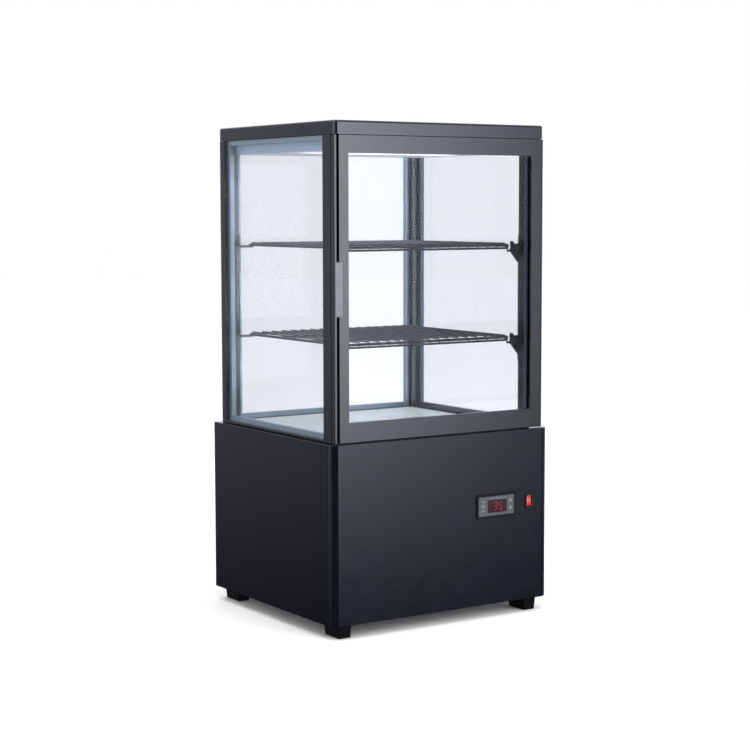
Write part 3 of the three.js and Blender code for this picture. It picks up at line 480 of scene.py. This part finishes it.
def make_skins():
    """Rounded skins for every outer piece. The roof keeps its chamfers crisp."""
    skins = {
        node: refined(node, width, material=OWN_FINISH.get(node))
        for node, width in EDGE_ROUNDS.items()
    }
    refined("roof_cap", ROOF_ROUND, smooth_under=ROOF_SMOOTH_UNDER)
    shade_liner_sides(skins["ceiling_liner"])
    for unit in ("left", "right", "rear", "door"):
        glass = SIDE_GLASS if unit in ("left", "right") else MATERIALS["glass"]
        for layer in ("outer", "inner"):
            refined(f"{unit}_{layer}_pane", PANE_ROUND, 1, glass)


make_skins()


def dress_hidden_nodes():
    """Gives every CAD node its detailed material. The machinery is seen in its CAD shapes."""
    for node in NODES:
        mesh = NODES[node].data
        mesh.materials.clear()
        mesh.materials.append(MATERIALS[SLOT_OF[node]])
        for face in mesh.polygons:
            face.use_smooth = True
        mesh.set_sharp_from_angle(angle=SMOOTH_UNDER)


dress_hidden_nodes()


# ---- Shelves -------------------------------------------------------------------

SHELF_ROD = 2.3 * MM
SHELF_LOWER_ROD = 1.8 * MM
SHELF_WIRE = 1.3 * MM
SHELF_WIRES = 17
SHELF_BEND = 4 * MM
SHELF_BEND_STEPS = 5
SHELF_CORNER = 6 * MM
SHELF_OVERLAP = 0.4 * MM
SHELF_WIRE_INSET = 7 * MM
SHELF_WIRE_TAIL = 1.2 * MM
CROSS_ROD = SHELF_ROD * 0.9
CROSS_ROD_PLACES = (0.33, 0.67)


def shelf_wire(x, front, rear, top, low):
    """A wire that lies on the rods, bends down over the front and ends on the lower rod."""
    points = [(x, front, low)]
    for k in range(SHELF_BEND_STEPS + 1):
        angle = math.radians(180 - 90 * k / SHELF_BEND_STEPS)
        y = front + SHELF_BEND * (1 + math.cos(angle))
        points.append((x, y, top - SHELF_BEND * (1 - math.sin(angle))))
    points.append((x, rear, top))
    return points


def make_shelf(node):
    """Round rim rod with wires on it, two cross rods, and a lower rod along the front."""
    low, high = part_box(node)
    rim_z = high.z - 2 * SHELF_WIRE - SHELF_ROD + SHELF_OVERLAP
    low_z = low.z + SHELF_LOWER_ROD
    wire_z = high.z - SHELF_WIRE
    x = (low.x + SHELF_ROD, high.x - SHELF_ROD)
    y = (low.y + SHELF_ROD, high.y - SHELF_ROD)
    bm = bmesh.new()
    add_tube(bm, rounded_loop(x, y, rim_z, SHELF_CORNER), SHELF_ROD, 12, closed=True)
    front = low.y + SHELF_LOWER_ROD
    ends = [
        (x[0], y[0] + 9 * MM, rim_z),
        (x[0], y[0] + 3 * MM, low_z + 2 * MM),
        (x[0] + 3 * MM, front, low_z),
    ]
    mirror = [(-px, py, pz) for px, py, pz in reversed(ends)]
    add_tube(bm, ends + mirror, SHELF_LOWER_ROD, 10)
    for share in CROSS_ROD_PLACES:
        cross_y = y[0] + (y[1] - y[0]) * share
        add_tube(bm, [(x[0], cross_y, rim_z), (x[1], cross_y, rim_z)], CROSS_ROD, 10)
    first = x[0] + SHELF_WIRE_INSET
    pitch = (x[1] - x[0] - 2 * SHELF_WIRE_INSET) / (SHELF_WIRES - 1)
    rear = y[1] + SHELF_WIRE_TAIL
    for i in range(SHELF_WIRES):
        add_tube(bm, shelf_wire(first + i * pitch, front, rear, wire_z, low_z), SHELF_WIRE, 8)
    finish_piece(node + "_wires", bm, BODY_OF[node], MATERIALS["black_wire"], (node,))


make_shelf("upper_shelf")
make_shelf("lower_shelf")


# ---- Door gasket ---------------------------------------------------------------

GASKET_WIDTH = 13 * MM

# Across the width and back through the depth, as shares of each.
GASKET_SECTION = [
    (0.0, 0.0), (0.0, 0.35), (0.12, 0.55), (0.12, 0.8), (0.25, 1.0), (0.75, 1.0),
    (0.88, 0.8), (0.88, 0.55), (1.0, 0.35), (1.0, 0.0),
]


def make_gasket():
    """Magnetic seal: a bellows section swept round the door with mitred corners."""
    low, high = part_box("door_gasket")
    depth = high.y - low.y
    bm = bmesh.new()
    corners = ((0, 0), (1, 0), (1, 1), (0, 1))
    rings = []
    for sx, sz in corners:
        ring = []
        for inward, back in GASKET_SECTION:
            inset = inward * GASKET_WIDTH
            x = low.x + inset if sx == 0 else high.x - inset
            z = low.z + inset if sz == 0 else high.z - inset
            ring.append(bm.verts.new((x, low.y + back * depth, z)))
        rings.append(ring)
    for i in range(4):
        first, second = rings[i], rings[(i + 1) % 4]
        for k in range(len(GASKET_SECTION)):
            j = (k + 1) % len(GASKET_SECTION)
            bm.faces.new((first[k], first[j], second[j], second[k]))
    finish_piece("door_gasket_seal", bm, "door", MATERIALS["rubber"], ("door_gasket",))


make_gasket()


# ---- Controller and switch details ------------------------------------------------

FACE_MARGINS = {"left": 3.9 * MM, "right": 4.0 * MM, "bottom": 3.3 * MM, "top": 4.2 * MM}
FACE_FRONT = 0.25 * MM
FACE_BACK = 0.48 * MM
FACE_GAP = 0.35 * MM


def make_control_face():
    """Grey face plate with windows for the display and the buttons."""
    housing_low, housing_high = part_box("controller_housing")
    display_low, display_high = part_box("controller_display")
    face_x = (housing_low.x + FACE_MARGINS["left"], housing_high.x - FACE_MARGINS["right"])
    face_z = (housing_low.z + FACE_MARGINS["bottom"], housing_high.z - FACE_MARGINS["top"])
    front = housing_low.y + FACE_FRONT
    back = housing_low.y + FACE_BACK
    gap = FACE_GAP
    holes = [(display_low.x, display_high.x, display_low.z, display_high.z)]
    for name in ("set_button", "up_button", "down_button"):
        low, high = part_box(name)
        holes.append((low.x, high.x, low.z, high.z))
    edges_x = sorted({face_x[0], face_x[1], *(e for h in holes for e in (h[0] - gap, h[1] + gap))})
    edges_z = sorted({face_z[0], face_z[1], *(e for h in holes for e in (h[2] - gap, h[3] + gap))})
    bm = bmesh.new()
    grid = {}

    def corner(i, k, y):
        if (i, k, y) not in grid:
            grid[i, k, y] = bm.verts.new((edges_x[i], y, edges_z[k]))
        return grid[i, k, y]

    def solid(i, k):
        if not (0 <= i < len(edges_x) - 1 and 0 <= k < len(edges_z) - 1):
            return False
        x = (edges_x[i] + edges_x[i + 1]) / 2
        z = (edges_z[k] + edges_z[k + 1]) / 2
        return not any(h[0] - gap < x < h[1] + gap and h[2] - gap < z < h[3] + gap for h in holes)

    for i in range(len(edges_x) - 1):
        for k in range(len(edges_z) - 1):
            if not solid(i, k):
                continue
            for y in (front, back):
                around = ((i, k), (i + 1, k), (i + 1, k + 1), (i, k + 1))
                bm.faces.new([corner(a, b, y) for a, b in around])
            sides = (
                ((i - 1, k), (i, k), (i, k + 1)), ((i + 1, k), (i + 1, k), (i + 1, k + 1)),
                ((i, k - 1), (i, k), (i + 1, k)), ((i, k + 1), (i, k + 1), (i + 1, k + 1)),
            )
            for beside, a, b in sides:
                if not solid(*beside):
                    bm.faces.new((corner(*a, front), corner(*b, front), corner(*b, back), corner(*a, back)))
    finish_piece("controller_faceplate", bm, "cabinet", FACE_GREY)


# Each segment runs between two points of a grid one figure wide and two half-figures high.
SEGMENTS = {
    "a": ((0, 2), (1, 2)), "b": ((1, 1), (1, 2)), "c": ((1, 0), (1, 1)), "d": ((0, 0), (1, 0)),
    "e": ((0, 0), (0, 1)), "f": ((0, 1), (0, 2)), "g": ((0, 1), (1, 1)),
}
DIGIT_SEGMENTS = {"3": "abcdg", "5": "acdfg"}
DIGIT_HEIGHT = 12.5 * MM
DIGIT_WIDTH = 6.4 * MM
DIGIT_BAR = 1.55 * MM
DIGIT_LEAN = 0.12
DIGIT_INSET = 11.5 * MM
DIGIT_PITCH = 10.5 * MM
DOT_GAP = 1.9 * MM
DOT_HALF = 0.7 * MM
DOT_CORNER = 0.6 * MM


def make_digits():
    """Two red seven-segment figures and a decimal point on the face of the display lens."""
    low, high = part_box("controller_display")
    y = (low.y - 0.16 * MM, low.y - 0.02 * MM)
    start_z = (low.z + high.z - DIGIT_HEIGHT) / 2
    bm = bmesh.new()
    for place, figure in enumerate("35"):
        start_x = low.x + DIGIT_INSET + place * DIGIT_PITCH
        for segment in DIGIT_SEGMENTS[figure]:
            (u0, v0), (u1, v1) = SEGMENTS[segment]
            a = Vector((u0 * DIGIT_WIDTH, v0 * DIGIT_HEIGHT / 2))
            b = Vector((u1 * DIGIT_WIDTH, v1 * DIGIT_HEIGHT / 2))
            along = (b - a).normalized()
            side = Vector((-along.y, along.x)) * DIGIT_BAR / 2
            tip = along * DIGIT_BAR * 0.62
            mid = along * DIGIT_BAR * 1.1
            points = [a + tip, a + mid - side, b - mid - side, b - tip, b - mid + side, a + mid + side]
            outline = [(start_x + p.x + p.y * DIGIT_LEAN, start_z + p.y) for p in points]
            add_prism(bm, outline, y[0], y[1], on_front)
    dot_x = low.x + DIGIT_INSET + DIGIT_WIDTH + DOT_GAP
    dot_z = (start_z - 0.5 * MM, start_z + 0.9 * MM)
    outline = rounded_outline((dot_x - DOT_HALF, dot_x + DOT_HALF), dot_z, DOT_CORNER)
    add_prism(bm, outline, y[0], y[1], on_front)
    finish_piece("display_digits", bm, "cabinet", DIGIT_RED)


LEGENDS = 4
LEGEND_PITCH = 8.5 * MM
ARROW_HALF = 1.7 * MM
RING_RADIUS = 1.7 * MM
RING_POINTS = 20


def add_mark(bm, x, z, size, corner, y):
    """A small plain rounded bar from its lower left corner."""
    outline = rounded_outline((x, x + size[0]), (z, z + size[1]), corner)
    add_prism(bm, outline, y[0], y[1], on_front)


def make_marks():
    """Small plain marks on the face and on the buttons."""
    low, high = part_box("controller_display")
    housing_low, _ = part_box("controller_housing")
    y = (housing_low.y + 0.1 * MM, housing_low.y + 0.26 * MM)
    bm = bmesh.new()
    for i in range(LEGENDS):
        x = low.x + 8 * MM + i * LEGEND_PITCH
        add_mark(bm, x, high.z + 2.9 * MM, (3.6 * MM, 1.6 * MM), 0.7 * MM, y)
    for name, up in (("up_button", 1), ("down_button", -1)):
        button_low, button_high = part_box(name)
        cx = (button_low.x + button_high.x) / 2
        cz = (button_low.z + button_high.z) / 2
        foot = cz - up * 1.1 * MM
        outline = [(cx - ARROW_HALF, foot), (cx + ARROW_HALF, foot), (cx, cz + up * 1.5 * MM)]
        mark = bmesh.new()
        add_prism(mark, outline, button_low.y - 0.08 * MM, button_low.y + 0.1 * MM, on_front)
        finish_piece(name + "_mark", mark, name, MARK_WHITE)
    set_low, set_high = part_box("set_button")
    centre = ((set_low.x + set_high.x) / 2, (set_low.z + set_high.z) / 2)
    ring = bmesh.new()
    loop = [
        (centre[0] + RING_RADIUS * math.cos(a), set_low.y, centre[1] + RING_RADIUS * math.sin(a))
        for a in (2 * math.pi * i / RING_POINTS for i in range(RING_POINTS))
    ]
    add_tube(ring, loop, 0.28 * MM, 6, closed=True)
    finish_piece("set_button_mark", ring, "set_button", MARK_WHITE)
    for z in (set_high.z + 2.6 * MM, set_low.z - 4.4 * MM):
        add_mark(bm, centre[0] - 2.4 * MM, z, (4.8 * MM, 2.2 * MM), 1.0 * MM, y)
    finish_piece("controller_marks", bm, "cabinet", MARK_WHITE)


make_control_face()
make_digits()
make_marks()


# ---- Rear louvres and screws ------------------------------------------------------

# Centre across the panel and number of slots of each column, as in the CAD rear panel.
LOUVRE_COLUMNS = ((-85 * MM, 9), (85 * MM, 11))
LOUVRE_FIRST = 90
LOUVRE_PITCH = 14
LOUVRE_HALF = 65 * MM
HOOD_DEPTH = 2.6 * MM
HOOD_RISE = 9 * MM
HOOD_SHEET = 0.9 * MM
HOOD_CROWN = 1.2 * MM
HOOD_STEPS = 6


def hood_arc(face, z, depth, rise):
    """Points of a quarter ellipse that stands out from the face at z and meets it above."""
    angles = [math.radians(90 * i / HOOD_STEPS) for i in range(HOOD_STEPS + 1)]
    return [(face + depth * math.cos(a), z + rise * math.sin(a)) for a in angles]


def make_louvres():
    """A pressed hood over every slot of the rear panel."""
    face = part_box("rear_panel")[1].y
    bm = bmesh.new()
    for centre_x, rows in LOUVRE_COLUMNS:
        left = centre_x - LOUVRE_HALF
        right = centre_x + LOUVRE_HALF
        for row in range(rows):
            z = (LOUVRE_FIRST + row * LOUVRE_PITCH) * MM
            outer = hood_arc(face, z, HOOD_DEPTH, HOOD_RISE)
            inner = hood_arc(face, z, HOOD_DEPTH - HOOD_SHEET, HOOD_RISE - HOOD_CROWN)
            add_prism(bm, outer + inner[::-1], left, right, on_side)
            for end in (left, right - HOOD_SHEET):
                add_prism(bm, [(face, z), *inner], end, end + HOOD_SHEET, on_side)
    finish_piece("rear_louvres", bm, "cabinet", MATERIALS["black_sheet"])


SCREW_RADIUS = 3.4 * MM
SCREW_RISE = 1.5 * MM
SCREW_SIDES = 20
SCREW_HOLLOW = 0.35

# Shares of the radius and of the rise, from the rim to the top.
SCREW_PROFILE = [(1.0, 0.0), (0.98, 0.35), (0.82, 0.72), (0.55, 0.92), (0.3, 0.98)]
SCREW_SIDE_INSET = 16 * MM
SCREW_END_INSET = 9 * MM


def add_screw(bm, at, out):
    """Domed screw head with a hollow in its top, on a face whose outward direction is out."""
    turn = out.to_track_quat("Z", "Y").to_matrix()
    rings = []
    for share, height in SCREW_PROFILE:
        ring = []
        for k in range(SCREW_SIDES):
            angle = 2 * math.pi * k / SCREW_SIDES
            reach = share * SCREW_RADIUS
            point = Vector((reach * math.cos(angle), reach * math.sin(angle), height * SCREW_RISE))
            ring.append(bm.verts.new(at + turn @ point))
        rings.append(ring)
    for first, second in zip(rings, rings[1:]):
        for k in range(SCREW_SIDES):
            j = (k + 1) % SCREW_SIDES
            bm.faces.new((first[k], first[j], second[j], second[k]))
    bm.faces.new(reversed(rings[0]))
    hollow = bm.verts.new(at + turn @ Vector((0, 0, SCREW_RISE * SCREW_HOLLOW)))
    last = rings[-1]
    for k in range(SCREW_SIDES):
        bm.faces.new((last[k], last[(k + 1) % SCREW_SIDES], hollow))


def make_screws():
    """Eight screws round the rear panel."""
    low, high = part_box("rear_panel")
    back = Vector((0, 1, 0))
    left, right = low.x + SCREW_SIDE_INSET, high.x - SCREW_SIDE_INSET
    bm = bmesh.new()
    for x in (left, 0.0, right):
        for z in (low.z + SCREW_END_INSET, high.z - SCREW_END_INSET):
            add_screw(bm, Vector((x, high.y, z)), back)
    for x in (left, right):
        add_screw(bm, Vector((x, high.y, (low.z + high.z) / 2)), back)
    finish_piece("rear_screws", bm, "cabinet", SCREW_STEEL)


make_louvres()
make_screws()


# ---- Studio ----------------------------------------------------------------------

# What gloss mirrors. Bearings are in degrees: 0 is out of the front, 90 out of the right side.
# Rises are the height of the direction's unit vector. Each pair is where a fade starts and ends.
SOFT_BOX = {"near": (2, 14), "far": (29, 42), "foot": (-0.25, -0.03), "top": (0.1, 0.28)}
SOFT_BOX_POWER = 7.0
SOFT_BOX_SPILL = 0.05
STRIP = {"near": (-70, -84), "far": (-118, -134), "foot": (-0.27, -0.02)}
STRIP_POWER = 2.1
STRIP_SPILL = 0.28
FILL = {"right": (60, 90), "rear": (-158, -170), "foot": (-0.5, 0.1)}
FILL_POWER = 0.7
FILL_FLOOR = 0.1
SKY = (0.2, 0.8)
GLOSS_TINT = (0.93, 0.98, 1.08)
AMBIENT = 1.04
BACKDROP = 1.0


def world_ramp(tree, value, fade, low, high):
    """Smooth change from low to high as the value goes through the fade."""
    ramp = tree.nodes.new("ShaderNodeMapRange")
    ramp.interpolation_type = "SMOOTHSTEP"
    tree.links.new(value, ramp.inputs["Value"])
    for name, number in (("From Min", fade[0]), ("From Max", fade[1]), ("To Min", low), ("To Max", high)):
        ramp.inputs[name].default_value = number
    return ramp.outputs["Result"]


def world_math(tree, operation, first, second):
    """One arithmetic node on two sockets or numbers."""
    node = tree.nodes.new("ShaderNodeMath")
    node.operation = operation
    for value, socket in ((first, node.inputs[0]), (second, node.inputs[1])):
        if isinstance(value, bpy.types.NodeSocket):
            tree.links.new(value, socket)
        else:
            socket.default_value = value
    return node.outputs["Value"]


def studio_glow(tree, bearing, rise):
    """Brightness of the mirrored studio in one direction."""
    def around(fade, low, high):
        return world_ramp(tree, bearing, [math.radians(a) for a in fade], low, high)

    def times(first, second):
        return world_math(tree, "MULTIPLY", first, second)

    def plus(first, second):
        return world_math(tree, "ADD", first, second)

    box_across = times(around(SOFT_BOX["near"], 0, 1), around(SOFT_BOX["far"], 1, SOFT_BOX_SPILL))
    box_up = times(
        world_ramp(tree, rise, SOFT_BOX["foot"], 0, SOFT_BOX_POWER),
        world_ramp(tree, rise, SOFT_BOX["top"], 1, SOFT_BOX_SPILL),
    )
    strip_across = times(around(STRIP["near"], 0, 1), around(STRIP["far"], 1, STRIP_SPILL))
    strip = times(strip_across, world_ramp(tree, rise, STRIP["foot"], 0, STRIP_POWER))
    walls = plus(around(FILL["right"], 0, FILL_POWER), around(FILL["rear"], 0, FILL_POWER))
    fill = times(walls, world_ramp(tree, rise, FILL["foot"], FILL_FLOOR, 1))
    sky = world_ramp(tree, rise, SKY, 0.0, 1.0)
    return plus(plus(plus(times(box_across, box_up), strip), fill), sky)


def make_world():
    """White surroundings. Gloss mirrors a dark studio with a wide soft box at the front right,
    a strip at the left, dim walls at the right and behind, and a bright sky overhead."""
    world = bpy.data.worlds.new("studio")
    scene.world = world
    world.use_nodes = True
    tree = world.node_tree
    tree.nodes.clear()
    output = tree.nodes.new("ShaderNodeOutputWorld")
    direction = tree.nodes.new("ShaderNodeTexCoord").outputs["Generated"]
    split = tree.nodes.new("ShaderNodeSeparateXYZ")
    tree.links.new(direction, split.inputs["Vector"])
    forward = world_math(tree, "MULTIPLY", split.outputs["Y"], -1.0)
    bearing = world_math(tree, "ARCTAN2", split.outputs["X"], forward)
    tinted = tree.nodes.new("ShaderNodeVectorMath")
    tinted.operation = "SCALE"
    tinted.inputs[0].default_value = GLOSS_TINT
    tree.links.new(studio_glow(tree, bearing, split.outputs["Z"]), tinted.inputs["Scale"])
    path = tree.nodes.new("ShaderNodeLightPath")
    choose = tree.nodes.new("ShaderNodeMix")
    choose.data_type = "RGBA"
    tree.links.new(path.outputs["Is Glossy Ray"], choose.inputs["Factor"])
    ambient = world_ramp(tree, path.outputs["Is Camera Ray"], (0, 1), AMBIENT, BACKDROP)
    tree.links.new(ambient, choose.inputs["A"])
    tree.links.new(tinted.outputs["Vector"], choose.inputs["B"])
    background = tree.nodes.new("ShaderNodeBackground")
    tree.links.new(choose.outputs["Result"], background.inputs["Color"])
    tree.links.new(background.outputs["Background"], output.inputs["Surface"])


FLOOR_RADIUS = 14


def make_floor():
    """A wide pale floor that gloss can't see."""
    n = Nodes("floor_pale")
    base = n.tint(n.spread(n.noise(3, 4), 0, 1), (0.965, 0.968, 0.972), (0.985, 0.987, 0.99))
    shader = n.principled(Base_Color=base, Roughness=0.9, Specular_IOR_Level=0.1)
    material = n.done(shader.outputs["BSDF"])
    bm = bmesh.new()
    bmesh.ops.create_circle(bm, cap_ends=True, segments=96, radius=FLOOR_RADIUS)
    mesh = bpy.data.meshes.new("floor")
    bm.to_mesh(mesh)
    bm.free()
    mesh.materials.append(material)
    floor = bpy.data.objects.new("floor", mesh)
    scene.collection.objects.link(floor)
    floor.visible_glossy = False


def soft_box(name, at, towards, size, power, colour=(1, 1, 1)):
    """A rectangular light that neither the camera nor gloss can see."""
    data = bpy.data.lights.new(name, "AREA")
    data.shape = "RECTANGLE"
    data.size, data.size_y = size
    data.energy = power
    data.color = colour
    light = bpy.data.objects.new(name, data)
    scene.collection.objects.link(light)
    light.location = at
    light.rotation_euler = (Vector(towards) - Vector(at)).to_track_quat("-Z", "Y").to_euler()
    light.visible_camera = False
    light.visible_glossy = False


def make_lights():
    """A large light in front of the door and a softer one overhead."""
    soft_box("front_box", (0.75, -2.5, 1.35), (0.1, -0.1, 0.6), (1.3, 1.7), 38, (0.97, 0.98, 1.0))
    soft_box("top_box", (-0.4, -0.3, 2.8), (0, 0, 0.4), (2.4, 2.4), 40)


make_world()
make_floor()
make_lights()
scene.view_settings.view_transform = "Standard"
scene.cycles.transparent_max_bounces = 32
